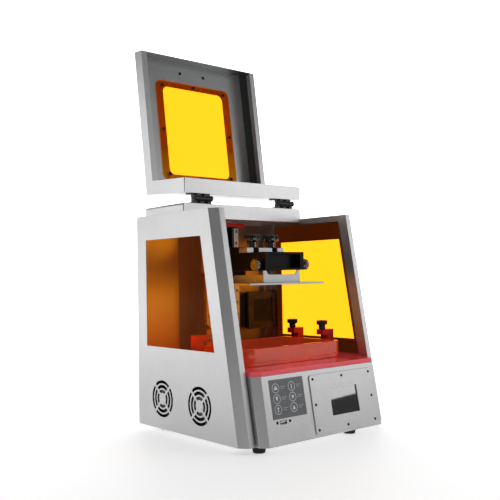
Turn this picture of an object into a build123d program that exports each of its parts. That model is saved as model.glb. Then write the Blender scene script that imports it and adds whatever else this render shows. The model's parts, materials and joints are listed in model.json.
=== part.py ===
from build123d import *
import os
from math import cos, hypot, pi, radians, sin, sqrt, tan

# Desktop resin printer with a flip-up lid, shown with the lid open.
# Lengths are in millimetres. While it is built, x = 0 is the middle of the machine, y = 0 the rear edge
# of the side panels (the front is at negative y) and z = 0 their lower edge. Every piece is moved at the
# end so that the origin is under the middle of the whole object, on the surface that it stands on.

# Driving dimensions: casing
half_width = 180.0
cheek_height = 406.0
sheet_t = 1.5
slope = 10.0
cheek_front_y = -305.4
cheek_chamfer = (12.0, 16.0)
cheek_corner_r = 5.0
flange_width = 11.3
return_depth = 22.0
core_half = 153.5
core_front_y = -342.8
core_rear_y = 9.8
core_chamfer = (11.6, 13.2)
deck_z = 116.0
deck_t = 8.0
window_z = (154.0, 358.5)
window_rear_y = -32.0
window_front_y = -246.0
pane_t = 3.0
pane_z = (125.5, 394.0)
cover_front_y = -122.2
cover_z = (398.0, 426.6)
foot_r = 12.5
foot_h = 11.0
foot_spots = [(-141.0, -314.0), (80.0, -317.0), (141.0, -40.0), (-141.0, -40.0)]

# Driving dimensions: lid
lid_half = 151.5
lid_gap = 1.4
lid_roof_t = 28.0
lid_door_t = 38.6
lid_door_length = 303.7
lid_lip = 13.0
hinge_z = 436.3
hinge_y = -123.2
hinge_travel = 177.4
hinge_x = 108.0
hinge_width = 44.0
hinge_pin_r = 3.0

# Driving dimensions: vertical axis, with the build plate at the height that it is shown
rail_x = 37.5
rail_front_y = -45.0
screw_y = -27.0
screw_r = 4.0
plate_z = 268.0
plate_t = 4.2
plate_half = 97.0
plate_y = (-244.0, -122.0)
arm_half = 50.0
arm_front_y = -236.0
arm_z = (295.5, 330.0)
knob_x = 24.2
knob_y = -169.0
side_knob_y = -223.0
side_knob_z = 306.0
slide_down = 140.0
slide_up = 40.0

# Driving dimensions: vat and its clamps
vat_half = 120.0
vat_y = (-265.0, -101.0)
vat_wall = 7.0
vat_corner = 16.0
frame_h = 7.0
vat_top = 156.0
clamp_x = (111.0, 139.0)
clamp_y = (-226.0, -140.0)
clamp_depth = 20.0
clamp_top = 175.5
clamp_screw_x = 116.5
clamp_screw_r = 3.0

run_clear = 0.05
slope_tan = tan(radians(slope))
deck_top = deck_z + deck_t
vat_mid_y = (vat_y[0] + vat_y[1]) / 2

parts = {}


def add(name, *shapes):
    """Keep one sub-part as its list of separate solids."""
    parts[name] = [solid for shape in shapes for solid in shape.solids()]


def block(x, y, z):
    """A box between two x, two y and two z values."""
    size = (x[1] - x[0], y[1] - y[0], z[1] - z[0])
    return Pos((x[0] + x[1]) / 2, (y[0] + y[1]) / 2, (z[0] + z[1]) / 2) * Box(*size)


def rod(radius, start, length, axis=(0, 0, 1)):
    """A cylinder from its start point along an axis."""
    at = Plane(origin=start, z_dir=axis)
    return at * Cylinder(radius, length, align=(Align.CENTER, Align.CENTER, Align.MIN))


def prism(points, thickness, plane=Plane.XY):
    """A polygon on a plane, thickened along the plane's normal."""
    return extrude(plane * make_face(Polyline(*points, close=True)), thickness, dir=plane.z_dir)


def band(points, thickness):
    """Outline of a folded sheet: a path and its mitred copy, offset to the left of the path."""
    offset = []
    for i, (x, y) in enumerate(points):
        normals = []
        for a, b in ((i - 1, i), (i, i + 1)):
            if a >= 0 and b < len(points):
                dx, dy = points[b][0] - points[a][0], points[b][1] - points[a][1]
                normals.append((-dy / hypot(dx, dy), dx / hypot(dx, dy)))
        nx = sum(n[0] for n in normals)
        ny = sum(n[1] for n in normals)
        scale = thickness / (nx * normals[0][0] + ny * normals[0][1])
        offset.append((x + nx * scale, y + ny * scale))
    return list(points) + offset[::-1]


def folded(points, thickness, z0, z1, lean=0.0):
    """A folded sheet standing between two heights, leaning back by lean millimetres per millimetre."""
    face = Pos(0, 0, z0) * make_face(Polyline(*band(points, thickness), close=True))
    height = z1 - z0
    return extrude(face, height * sqrt(1 + lean * lean), dir=(0, lean, 1))


def mirrored(shape):
    return mirror(shape, Plane.YZ)


def rounded_box(x, y, z, radius):
    """A box whose upright edges are rounded."""
    return fillet(block(x, y, z).edges().filter_by(Axis.Z), radius)


def ring_cuts(radii, spoke, depth, plane):
    """Concentric ring slots, each broken by four diagonal spokes."""
    cuts = None
    for inner, outer in radii:
        ring = Circle(outer) - Circle(inner)
        for angle in (45, 135):
            ring -= Rot(0, 0, angle) * Rectangle(2.2 * outer, spoke)
        cuts = ring if cuts is None else cuts + ring
    return extrude(plane * cuts, depth)


# The slanted front plane: local x is the machine's x, local y runs up the slope, local z points outwards
front = Plane(origin=(0, core_front_y, 0), x_dir=(1, 0, 0), z_dir=(0, -cos(radians(slope)), sin(radians(slope))))


def on_front(shape):
    return front * shape


# --- Side panels with their windows and fan grilles
fan_spots = [(-83.0, 57.0), (-200.0, 57.0)]
grille_rings = [(11.0, 17.0), (20.0, 26.0), (29.0, 34.5)]
inner_x = half_width - sheet_t


def side_panel():
    """The left cheek: outer skin, chamfered front fold, front flange and its return."""
    skin_front = cheek_front_y + 20
    skin = prism(
        [(0, 0), (skin_front, 0), (skin_front + cheek_height * slope_tan, cheek_height), (0, cheek_height)],
        sheet_t, Plane(origin=(-half_width, 0, 0), x_dir=(0, 1, 0), z_dir=(1, 0, 0)))
    flange_y = cheek_front_y - cheek_chamfer[1]
    flange_x = -half_width + cheek_chamfer[0]
    fold = [
        (-half_width, skin_front - 0.5), (-half_width, cheek_front_y), (flange_x, flange_y),
        (flange_x + flange_width, flange_y), (flange_x + flange_width, flange_y + return_depth)]
    nose = folded(fold, sheet_t, 0, cheek_height, slope_tan)
    overlap = prism(
        [(skin_front + 6, 0), (skin_front - 0.6, 0), (skin_front - 0.6 + cheek_height * slope_tan, cheek_height),
         (skin_front + 6 + cheek_height * slope_tan, cheek_height)],
        sheet_t, Plane(origin=(-half_width, 0, 0), x_dir=(0, 1, 0), z_dir=(1, 0, 0)))
    panel = skin + overlap + nose
    top_y = window_front_y + (window_z[1] - window_z[0]) * slope_tan
    opening = prism(
        [(window_rear_y, window_z[0]), (window_front_y, window_z[0]), (top_y, window_z[1]),
         (window_rear_y, window_z[1])],
        10, Plane(origin=(-half_width - 4, 0, 0), x_dir=(0, 1, 0), z_dir=(1, 0, 0)))
    panel -= opening
    for y, z in fan_spots:
        grille = Plane(origin=(-half_width - 4, y, z), x_dir=(0, 1, 0), z_dir=(1, 0, 0))
        panel -= ring_cuts(grille_rings, 4.5, 10, grille)
    inner_top_x = flange_x + flange_width
    ledge = block((-inner_x - 0.2, inner_top_x), (cover_front_y, -sheet_t), (cheek_height - sheet_t, cheek_height))
    ledge_front_y = flange_y + cheek_height * slope_tan + return_depth
    band_wall = block((inner_top_x - sheet_t, inner_top_x), (ledge_front_y - 1.5, cover_front_y + 4),
                      (cheek_height - 12, cheek_height))
    lid_ledge = block((-inner_x - 0.2, inner_top_x), (ledge_front_y - 4, cover_front_y + 1),
                      (cheek_height - sheet_t, cheek_height))
    panel = panel + ledge + lid_ledge + band_wall
    r = cheek_corner_r
    for edge_z, middle_z in ((0, r), (cheek_height, cheek_height - r)):
        tip = block((-half_width - 1, -inner_x + 1), (-r, 1), sorted((middle_z, 2 * edge_z - middle_z)))
        panel -= tip - rod(r, (-half_width - 2, -r, middle_z), half_width, (1, 0, 0))
    return panel


left_side = side_panel()
add("left_side_panel", left_side)
add("right_side_panel", mirrored(left_side))


def window_pane():
    front_low = window_front_y - 3 - (window_z[0] - pane_z[0]) * slope_tan
    front_high = front_low + (pane_z[1] - pane_z[0]) * slope_tan
    return prism(
        [(window_rear_y + 12, pane_z[0]), (front_low, pane_z[0]), (front_high, pane_z[1]),
         (window_rear_y + 12, pane_z[1])],
        pane_t, Plane(origin=(-inner_x, 0, 0), x_dir=(0, 1, 0), z_dir=(1, 0, 0)))


left_pane = window_pane()
add("left_window", left_pane)
add("right_window", mirrored(left_pane))

# --- Base pan, feet and rear panel
pan_front = core_front_y + 4
base_outline = [
    (-inner_x, -sheet_t), (-inner_x, -287), (-core_half + 3, -287), (-core_half + 3, pan_front + 13),
    (-core_half + 14, pan_front), (core_half - 14, pan_front), (core_half - 3, pan_front + 13),
    (core_half - 3, -287), (inner_x, -287), (inner_x, -sheet_t)]
base_pan = prism(base_outline, sheet_t)
for slot in range(9):
    x = (slot - 4) * 16.0
    base_pan -= block((x - 3, x + 3), (-90, -40), (-1, 3))
add("base_pan", base_pan)

feet = []
for x, y in foot_spots:
    lower = Pos(x, y, -foot_h) * Cone(foot_r - 2, foot_r, foot_h, align=(Align.CENTER, Align.CENTER, Align.MIN))
    feet.append(lower)
add("feet", *feet)

rear_path = [
    (-inner_x, -14), (-inner_x, 0), (-core_half, 0), (-core_half, core_rear_y),
    (core_half, core_rear_y), (core_half, 0), (inner_x, 0), (inner_x, -14)]
rear_panel = folded(rear_path[::-1], sheet_t, sheet_t, cheek_height - sheet_t)
rear_panel -= block((-core_half - 1, core_half + 1), (-2, core_rear_y + 1), (cover_z[0], cheek_height))
duct_x, duct_z = 134.0, 209.5
duct = Plane(origin=(duct_x - 1, core_rear_y + 3, duct_z), x_dir=(1, 0, 0), z_dir=(0, -1, 0))
rear_panel -= ring_cuts([(6, 11), (14.5, 19.5), (23, 27.5)], 5, 8, duct)
inlet_x, inlet_z = -110.0, 45.0
rear_panel -= block((inlet_x - 24, inlet_x + 24), (0, 14), (inlet_z - 29, inlet_z + 29))
for slot in range(10):
    x = 20 + slot * 11.0
    rear_panel -= block((x - 2.5, x + 2.5), (5, 14), (30, 80))
add("rear_panel", rear_panel)

# --- Rear top cover
cover_outer = block((-core_half + 0.5, core_half - 0.5), (cover_front_y, core_rear_y), cover_z)
cover_outer = fillet(cover_outer.edges().filter_by(Axis.Y).group_by(Axis.Z)[-1], 5)
cover_inner = block((-core_half + 2, core_half - 2), (cover_front_y + sheet_t, core_rear_y - sheet_t),
                    (cover_z[0] - 1, cover_z[1] - sheet_t))
add("top_cover", cover_outer - cover_inner)

# --- Slanted front panel
core_fold = [
    (-core_half, -290), (-core_half, core_front_y + core_chamfer[1]), (-core_half + core_chamfer[0], core_front_y),
    (core_half - core_chamfer[0], core_front_y), (core_half, core_front_y + core_chamfer[1]), (core_half, -290)]
front_panel = folded(core_fold, sheet_t, 0, deck_z, slope_tan)
screen_window_x = (14.4, 86.3)
screen_window_s = (32.5, 81.1)
screen_cut = on_front(block((screen_window_x[0] - 6, screen_window_x[1] + 6),
                            (screen_window_s[0] - 6, screen_window_s[1] + 6), (-5, 3)))
usb_x, usb_s = -103.7, 37.6
usb_cut = on_front(block((usb_x - 7.6, usb_x + 7.6), (usb_s - 3.6, usb_s + 3.6), (-5, 3)))
front_panel -= screen_cut
front_panel -= usb_cut
add("front_panel", front_panel)

cover_x = (-32.3, 133.0)
cover_s = (5.5, 108.6)
cover_t = 2.0
cover_plate = fillet(block(cover_x, cover_s, (0, cover_t)).edges().filter_by(Axis.Z), 5)
cover_plate -= block(screen_window_x, screen_window_s, (-1, cover_t + 1))
add("screen_cover", on_front(cover_plate))

screw_rows = (12.5, 56.5, 101.2)
screw_columns = (-24.4, 50.2, 124.2)
front_screws = []
for i, x in enumerate(screw_columns):
    for j, s in enumerate(screw_rows):
        if (i, j) != (1, 1):
            front_screws.append(on_front(rod(2.6, (x, s, cover_t), 1.1)))
for x in (usb_x - 14.6, usb_x + 14.6):
    front_screws.append(on_front(rod(2.6, (x, usb_s + 0.6, 0), 1.1)))
add("front_screws", *front_screws)

touch_screen = on_front(
    block((screen_window_x[0] - 4, screen_window_x[1] + 8), (screen_window_s[0] - 5, screen_window_s[1] + 5),
          (-6.5, -sheet_t - 0.1)) + block((screen_window_x[0] - 2, screen_window_x[1] + 2),
                                          (screen_window_s[0] - 2, screen_window_s[1] + 2), (-2.5, -0.4)))
add("touch_screen", touch_screen)
add("control_label", on_front(block((-126.5, -47.3), (44.0, 110.0), (0, 0.5))))
usb_shell = block((usb_x - 7.2, usb_x + 7.2), (usb_s - 3.2, usb_s + 3.2), (-20, 0.8))
usb_shell -= block((usb_x - 6.6, usb_x + 6.6), (usb_s - 2.6, usb_s + 2.6), (-18, 2))
usb_tongue = block((usb_x - 5.6, usb_x + 5.6), (usb_s - 0.2, usb_s + 1.8), (-18.5, -1.5))
usb_flange = block((usb_x - 19, usb_x + 19), (usb_s - 5.5, usb_s + 6.5), (-3.2, -sheet_t))
usb_flange -= block((usb_x - 7.3, usb_x + 7.3), (usb_s - 3.3, usb_s + 3.3), (-4, 0))
usb_flange += block((usb_x - 7.4, usb_x + 7.4), (usb_s - 3.4, usb_s + 3.4), (-20, -3)) - block(
    (usb_x - 6.6, usb_x + 6.6), (usb_s - 2.6, usb_s + 2.6), (-18, 2))
add("usb_port", on_front(usb_shell + usb_tongue + usb_flange))

# --- Deck plate with the masking screen let into it
deck_front = core_front_y + deck_z * slope_tan + 0.6
wide_y = cheek_front_y - cheek_chamfer[1] + deck_top * slope_tan + return_depth + 3
deck_narrow = core_half - 0.5
deck_wide = inner_x - 0.3
rear_notch_x = inner_x - 1.9
deck_outline = [
    (-rear_notch_x, -sheet_t - 0.3), (-rear_notch_x, -15), (-deck_wide, -15), (-deck_wide, wide_y), (-deck_narrow, wide_y),
    (-deck_narrow, deck_front + core_chamfer[1]), (-deck_narrow + core_chamfer[0], deck_front),
    (deck_narrow - core_chamfer[0], deck_front), (deck_narrow, deck_front + core_chamfer[1]),
    (deck_narrow, wide_y), (deck_wide, wide_y), (deck_wide, -15), (rear_notch_x, -15),
    (rear_notch_x, -sheet_t - 0.3)]
deck = Pos(0, 0, deck_z) * prism(deck_outline, deck_t)
aperture = (98.0, 62.0)
glass = (104.0, 67.0)
deck -= block((-aperture[0], aperture[0]), (vat_mid_y - aperture[1], vat_mid_y + aperture[1]), (100, 130))
deck -= block((-glass[0], glass[0]), (vat_mid_y - glass[1], vat_mid_y + glass[1]), (deck_top - 3, 130))
deck -= rod(9, (0, screw_y, 100), 40)
add("platform_plate", deck)
add("masking_screen", block((-glass[0] + 0.2, glass[0] - 0.2),
                            (vat_mid_y - glass[1] + 0.2, vat_mid_y + glass[1] - 0.2), (deck_top - 3, deck_top)))

# --- Vat clamps and their thumbscrews
overhang_z = 165.0
post_x = vat_half + 2.5


def vat_clamp(y):
    body = block((post_x, clamp_x[1]), (y, y + clamp_depth), (deck_top, clamp_top))
    body += block((clamp_x[0], post_x + 1), (y, y + clamp_depth), (overhang_z, clamp_top))
    return body - rod(clamp_screw_r + run_clear, (clamp_screw_x, y + clamp_depth / 2, 150), 40)


def clamp_screw(y):
    at = (clamp_screw_x, y + clamp_depth / 2)
    shaft = rod(clamp_screw_r, (*at, vat_top + 0.5), clamp_top - vat_top + 1)
    neck = rod(6.7, (*at, clamp_top + 0.4), 9.6)
    head = Pos(*at, clamp_top + 9.5) * extrude(scalloped(11.0, 1.3, 12), 8.5)
    return shaft + neck + chamfer(head.edges().group_by(Axis.Z)[-1], 0.8)


def scalloped(radius, depth, count):
    """A round knob outline with shallow grip notches."""
    outline = Circle(radius)
    for i in range(count):
        angle = 2 * pi * i / count
        outline -= Pos(radius * 1.06 * cos(angle), radius * 1.06 * sin(angle)) * Circle(depth * 1.6)
    return outline


clamps = []
for y, row in zip(clamp_y, ("front", "rear")):
    right_clamp = vat_clamp(y)
    right_screw = clamp_screw(y)
    clamps += [right_clamp, mirrored(right_clamp)]
    add(f"right_{row}_thumbscrew", right_screw)
    add(f"left_{row}_thumbscrew", mirrored(right_screw))
add("vat_clamps", *clamps)

# --- Vat: a moulded wall on a frame that stretches the release film
film_z = deck_top + 0.5


def ring(outset, inset, radius, z0, z1, inner_radius):
    outer = rounded_box((-vat_half + outset, vat_half - outset), (vat_y[0] + outset, vat_y[1] - outset),
                        (z0, z1), radius)
    hole = rounded_box((-vat_half + inset, vat_half - inset), (vat_y[0] + inset, vat_y[1] - inset),
                       (z0 - 1, z1 + 1), inner_radius)
    return outer - hole


tray = ring(0, vat_wall, vat_corner, deck_top + frame_h, vat_top, vat_corner - vat_wall)
add("vat_tray", tray)
add("film_frame", ring(0.8, vat_wall + 2, vat_corner - 0.8, film_z + 0.6, deck_top + frame_h, 7.0))
add("vat_film", block((-vat_half + 6, vat_half - 6), (vat_y[0] + 6, vat_y[1] - 6), (film_z, film_z + 0.6)))

# --- Vertical axis: column, rails, red top plate, motor and lead screw
column_top = 389.5
upright = (rail_x - 6.5, rail_x + 6.5)
column = block((-upright[1], upright[1]), (-15.5, -10), (deck_top, column_top))
column += block(upright, (rail_front_y + 8, -14), (deck_top, column_top))
column += block((-upright[1], -upright[0]), (rail_front_y + 8, -14), (deck_top, column_top))
add("z_column", column)

rails = []
for side in (-1, 1):
    rail = block((side * rail_x - 6, side * rail_x + 6), (rail_front_y, rail_front_y + 8), (132, 386.8))
    for groove_side in (-1, 1):
        x = side * rail_x + groove_side * 6
        rail -= block((x - 0.9, x + 0.9), (rail_front_y + 2.4, rail_front_y + 5.2), (131, 388))
    for hole in range(10):
        rail -= rod(2.9, (side * rail_x, rail_front_y - 0.5, 380 - 25 * hole), 5, (0, 1, 0))
    rails.append(rail)
add("linear_rails", *rails)

top_plate = block((-59, 59), (rail_front_y - 1, -4), (column_top, column_top + 8))
top_plate -= rod(8.05, (0, screw_y, column_top - 1), 10)
add("z_top_plate", top_plate)
bearing = rod(8, (0, screw_y, column_top + 1), 5) - rod(screw_r + run_clear, (0, screw_y, column_top - 1), 10)
add("screw_bearing", bearing)

motor_top = 80.0
motor = block((-21, 21), (screw_y - 21, screw_y + 21), (motor_top - 40, motor_top))
motor = chamfer(motor.edges().filter_by(Axis.Z), 4)
motor += rod(11, (0, screw_y, motor_top), 2)
motor -= rod(2.5 + run_clear, (0, screw_y, motor_top - 12), 20)
for side in (-1, 1):
    for dy in (-15.5, 15.5):
        motor += rod(3, (side * 15.5, screw_y + dy, motor_top - 1), deck_z - motor_top + 1)
add("z_motor", motor)

lead_screw = rod(screw_r, (0, screw_y, 98), column_top + 6.5 - 98)
add("lead_screw", lead_screw)
coupler = rod(9, (0, screw_y, 84), 26) - rod(screw_r, (0, screw_y, 98), 20)
coupler += rod(2.5, (0, screw_y, motor_top - 10), 15)
add("shaft_coupler", coupler)

# --- Carriage: rail blocks, plate, nut, arm, clamp bar, plate hanger and build plate
carriage_z = (286.0, 346.0)
rail_blocks = []
for side in (-1, 1):
    body = block((side * rail_x - 13.5, side * rail_x + 13.5), (rail_front_y - 5, rail_front_y + 5.5), (293, 339))
    body -= block((side * rail_x - 6.3, side * rail_x + 6.3), (rail_front_y - 0.35, rail_front_y + 8), (290, 342))
    rail_blocks.append(body)
add("rail_blocks", *rail_blocks)
plate_back = rail_front_y - 5
carriage = block((-52, 52), (plate_back - 7, plate_back), carriage_z)
carriage += block((-16, 16), (plate_back - 1, screw_y + 7), (302, 314))
carriage -= rod(6, (0, screw_y, 300), 20)
add("carriage_plate", carriage)
nut = rod(6, (0, screw_y, 301), 13) + rod(10.5, (0, screw_y, 314), 4)
add("lead_nut", nut - rod(screw_r + run_clear, (0, screw_y, 295), 30))

arm_back = plate_back - 7
arm = block((-arm_half, arm_half), (arm_front_y, arm_back), arm_z)
arm -= block((-arm_half - 1, arm_half + 1), (-132, arm_back + 1), (arm_z[0] - 1, 304))
arm -= block((-arm_half + 5, arm_half - 5), (arm_front_y + 26, arm_back + 1), (arm_z[0] + 12, arm_z[1] - 8))
arm -= block((-40, 40), (arm_front_y - 1, arm_front_y + 16), (arm_z[0] + 4, arm_z[1] - 4))
post_r = 9.0
arm -= rod(post_r + 0.4, (0, -185, arm_z[0] - 1), 14)
for side in (-1, 1):
    arm -= rod(4.05, (side * knob_x, knob_y, arm_z[1] - 9), 12)
    arm -= rod(4.05, (side * (arm_half - 9), side_knob_y, side_knob_z), 12, (side, 0, 0))
add("build_arm", arm)

bar = block((-48, 48), (knob_y - 12, knob_y + 12), (arm_z[1], arm_z[1] + 10))
for side in (-1, 1):
    bar -= rod(6.5, (side * knob_x, knob_y, arm_z[1] - 1), 12)
    bar -= block((side * knob_x - 6.5, side * knob_x + 6.5), (knob_y - 14, knob_y), (arm_z[1] - 1, arm_z[1] + 12))
add("clamp_bar", bar)


def grip(radius, height, base_radius, base_height, stud, lobes):
    """A fluted knob on a hub, pointing up, with a stud below it."""
    head = extrude(scalloped(radius, radius * 0.12, lobes), height)
    head = Pos(0, 0, base_height) * chamfer(head.edges().group_by(Axis.Z)[-1], 0.9)
    return head + rod(base_radius, (0, 0, 0), base_height + 0.5) + rod(4, (0, 0, -stud), stud + 1)


bar_top = arm_z[1] + 10
top_knob = Pos(knob_x, knob_y, bar_top + 0.3) * grip(15.8, 12, 9.2, 13, 17, 8)
add("right_top_knob", top_knob)
add("left_top_knob", mirrored(top_knob))
side_knob = Plane(origin=(arm_half + 0.3, side_knob_y, side_knob_z), z_dir=(1, 0, 0)) * grip(10.9, 8, 7.0, 9, 8, 12)
add("right_side_knob", side_knob)
add("left_side_knob", mirrored(side_knob))

plate_top = plate_z + plate_t
hanger_half = 47.5
hanger_y = (-227.0, -141.0)
hanger = block((-hanger_half, hanger_half), hanger_y, (plate_top, plate_top + 15.3))
hanger -= block((-hanger_half + 2, hanger_half - 2), (hanger_y[0] + 2, hanger_y[1] - 2),
                (plate_top + 2, plate_top + 20))
wall = block((-hanger_half, hanger_half), (hanger_y[0], hanger_y[0] + 2), (plate_top, arm_z[0] - 0.2))
notch = Pos(0, 0, plate_top + 15.3 + 20) * block((-39, 39), (hanger_y[0] - 1, hanger_y[0] + 4), (-20, 20))
notch = fillet(notch.edges().filter_by(Axis.Y), 8)
hanger = hanger + wall - notch
post = rod(post_r, (0, -185, plate_top + 1.9), arm_z[0] + 10 - plate_top)
add("plate_hanger", hanger + post)
build_plate = rounded_box((-plate_half, plate_half), plate_y, (plate_z, plate_top), 2)
add("build_plate", build_plate)

# --- Light engine and electronics under the deck
lamp_z = (52.0, 112.0)
lamp_mid = vat_mid_y
lamp_outer = loft([Pos(0, lamp_mid, lamp_z[0]) * Rectangle(110, 80), Pos(0, lamp_mid, lamp_z[1]) * Rectangle(214, 140)])
lamp_inner = loft([Pos(0, lamp_mid, lamp_z[0] - 0.5) * Rectangle(106, 76),
                   Pos(0, lamp_mid, lamp_z[1] + 0.5) * Rectangle(211, 137)])
hood = lamp_outer - lamp_inner
hood += block((-112, 112), (lamp_mid - 76, lamp_mid + 76), (lamp_z[1], deck_z)) - block(
    (-105, 105), (lamp_mid - 68, lamp_mid + 68), (lamp_z[1] - 1, deck_z + 1))
led_board = block((-54, 54), (lamp_mid - 39, lamp_mid + 39), (lamp_z[0] - 2, lamp_z[0] - 0.2))
for i in range(8):
    for j in range(5):
        led_board += rod(2.5, ((i - 3.5) * 12.5, lamp_mid + (j - 2) * 15, lamp_z[0] - 0.5), 2.5)
add("led_board", led_board)
fins = block((-56, 56), (lamp_mid - 41, lamp_mid + 41), (lamp_z[0] - 7, lamp_z[0] - 2))
for i in range(12):
    x = (i - 5.5) * 9.6
    fins += block((x - 1, x + 1), (lamp_mid - 41, lamp_mid + 41), (lamp_z[0] - 34, lamp_z[0] - 6))
add("light_box", hood, fins)

board = block((-60, 60), (-335, -262), (4.5, 6.1))
for x, y, w, d, h in ((-30, -300, 14, 14, 2), (12, -296, 22, 9, 6), (40, -312, 16, 16, 12), (-46, -282, 10, 16, 9)):
    board += block((x - w / 2, x + w / 2), (y - d / 2, y + d / 2), (6, 6 + h))
for x in (-56, 56):
    for y in (-331, -266):
        board += rod(2.5, (x, y, sheet_t), 3.5)
add("main_board", board)
add("power_supply", chamfer(block((62, 148), (-130, -14), (sheet_t, 42)).edges().filter_by(Axis.Z), 1))
inlet = block((inlet_x - 23.6, inlet_x + 23.6), (-22, core_rear_y - 0.2), (inlet_z - 28.6, inlet_z + 28.6))
inlet += block((inlet_x - 28, inlet_x + 28), (core_rear_y, core_rear_y + 2.5), (inlet_z - 33, inlet_z + 33))
inlet += block((inlet_x - 23.6, inlet_x + 23.6), (core_rear_y - 1, core_rear_y + 1), (inlet_z - 28.6, inlet_z + 28.6))
inlet -= block((inlet_x - 12.5, inlet_x + 12.5), (-6, core_rear_y + 4), (inlet_z - 24, inlet_z - 6))
for x in (-7, 0, 7):
    inlet += block((inlet_x + x - 2, inlet_x + x + 2), (-8, 4), (inlet_z - 15, inlet_z - 13.5))
rocker_z = inlet_z + 12
inlet -= block((inlet_x - 14, inlet_x + 14), (core_rear_y - 14, core_rear_y + 4), (rocker_z - 10, rocker_z + 10))
add("power_inlet", inlet)
rocker_pivot_y = core_rear_y - 3.5
rocker_side = [(-8.9, 5.0), (0, 3.4), (9.2, 3.4), (8.2, -4), (-8.2, -4)]
rocker_plane = Plane(origin=(inlet_x + 13.4, rocker_pivot_y, rocker_z), x_dir=(0, 0, 1), z_dir=(-1, 0, 0))
add("power_rocker", prism(rocker_side, 26.8, rocker_plane))

# --- Fans and the chamber's air filter


def fan_frame(size, depth, bore):
    frame = block((-size / 2, size / 2), (-size / 2, size / 2), (0, depth))
    frame = fillet(frame.edges().filter_by(Axis.Z), 4) - rod(bore, (0, 0, -1), depth + 2)
    for angle in (0, 120, 240):
        frame += Rot(0, 0, angle) * block((0, bore + 1), (-2, 2), (0, 2))
    frame += rod(bore * 0.45, (0, 0, 0), 2)
    return frame - rod(2 + run_clear, (0, 0, -1), depth + 2)


def impeller(bore, depth, blades):
    """A hub with twisted blades; its axle runs in the frame."""
    hub = rod(bore * 0.42, (0, 0, 2.6), depth - 3.6) + rod(2, (0, 0, 0.3), 4)
    blade = Pos(bore * 0.66, 0, depth / 2 + 0.8) * Rot(38, 0, 0) * Box(bore * 0.6, 1.2, depth * 0.72)
    for i in range(blades):
        hub += Rot(0, 0, 360 / blades * i) * blade
    return hub


side_frames = []
for (y, z), name in zip(fan_spots, ("rear_side", "front_side")):
    seat = Plane(origin=(-inner_x + 0.2, y, z), x_dir=(0, 1, 0), z_dir=(1, 0, 0))
    side_frames.append(seat * fan_frame(76, 20, 35.5))
    add(f"{name}_impeller", seat * impeller(34.5, 20, 9))
chamber_size, chamber_depth = 80, 10
chamber_seat = Plane(origin=(duct_x, -sheet_t - chamber_depth - 0.05, duct_z), x_dir=(1, 0, 0), z_dir=(0, 1, 0))
side_frames.append(chamber_seat * fan_frame(chamber_size, chamber_depth, 37))
add("fan_frames", *side_frames)
add("chamber_impeller", chamber_seat * impeller(35.8, chamber_depth, 9))
filter_back = -sheet_t - chamber_depth - 0.3
filter_frame = block((duct_x - 42, duct_x + 42), (filter_back - 5, filter_back), (duct_z - 41, duct_z + 41))
filter_frame -= block((duct_x - 29, duct_x + 29), (filter_back - 6, filter_back - 2), (duct_z - 27.5, duct_z + 27.5))
filter_frame -= block((duct_x - 25, duct_x + 25), (filter_back - 6, filter_back + 2), (duct_z - 23.5, duct_z + 23.5))
mesh = None
for i in range(9):
    x = duct_x - 24 + 6 * i
    bar_up = block((x - 0.8, x + 0.8), (filter_back - 1.8, filter_back - 0.6), (duct_z - 24, duct_z + 24))
    mesh = bar_up if mesh is None else mesh + bar_up
for i in range(9):
    z = duct_z - 24 + 6 * i
    mesh += block((duct_x - 25.5, duct_x + 25.5), (filter_back - 1.8, filter_back - 0.6), (z - 0.8, z + 0.8))
media = block((duct_x - 25.5, duct_x + 25.5), (filter_back - 0.7, filter_back), (duct_z - 24, duct_z + 24))
add("air_filter", filter_frame + mesh + media)

# --- Lid, drawn closed and then turned back about the hinge pins to its open rest position
hinge_axis = Axis((0, hinge_y, hinge_z), (1, 0, 0))
roof_z = cover_z[1]
roof_rear_y = cover_front_y - lid_gap
roof_front_y = core_front_y + roof_z * slope_tan
door_low_z = roof_z - lid_door_length * cos(radians(slope))


def lid_profile(inset, roof_drop, door_thick, low_z, rear_y):
    """Side view of the lid: roof and door, each inset from the outer faces, as points (y, z)."""
    def door_y(z, depth):
        return core_front_y + z * slope_tan + depth / cos(radians(slope))
    top = roof_z - inset
    under = roof_z - roof_drop
    return [(rear_y, top), (door_y(top, inset), top), (door_y(low_z, inset), low_z),
            (door_y(low_z, door_thick), low_z), (door_y(under, door_thick), under), (rear_y, under)]


side_plane = Plane(origin=(-lid_half, 0, 0), x_dir=(0, 1, 0), z_dir=(1, 0, 0))
lid_block = prism(lid_profile(0, lid_roof_t, lid_door_t, door_low_z, roof_rear_y), 2 * lid_half, side_plane)
roof_thick = sheet_t
cavity_plane = Plane(origin=(-lid_half + sheet_t, 0, 0), x_dir=(0, 1, 0), z_dir=(1, 0, 0))
cavity = prism(lid_profile(sheet_t, lid_roof_t - sheet_t, lid_door_t - sheet_t, door_low_z + sheet_t,
                           roof_rear_y - sheet_t), 2 * (lid_half - sheet_t), cavity_plane)
mouth_plane = Plane(origin=(-lid_half + lid_lip, 0, 0), x_dir=(0, 1, 0), z_dir=(1, 0, 0))
mouth = prism(lid_profile(sheet_t, lid_roof_t + 5, lid_door_t + 5, door_low_z + sheet_t, roof_rear_y - sheet_t),
              2 * (lid_half - lid_lip), mouth_plane)
chamfer_x, chamfer_y = core_chamfer


def corner_cut(side, inset):
    """Wedge outside the chamfer that runs up each front corner of the lid."""
    x_edge = lid_half - inset
    y_edge = core_front_y + inset
    depth = chamfer_y + 0.4 * inset
    width = chamfer_x + 0.4 * inset
    points = [(side * (x_edge - width), y_edge), (side * x_edge, y_edge + depth),
              (side * (x_edge + 30), y_edge + depth), (side * (x_edge + 30), y_edge - 40),
              (side * (x_edge - width), y_edge - 40)]
    face = make_face(Polyline(*points, close=True))
    return extrude(face, 500 * sqrt(1 + slope_tan ** 2), dir=(0, slope_tan, 1))


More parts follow.
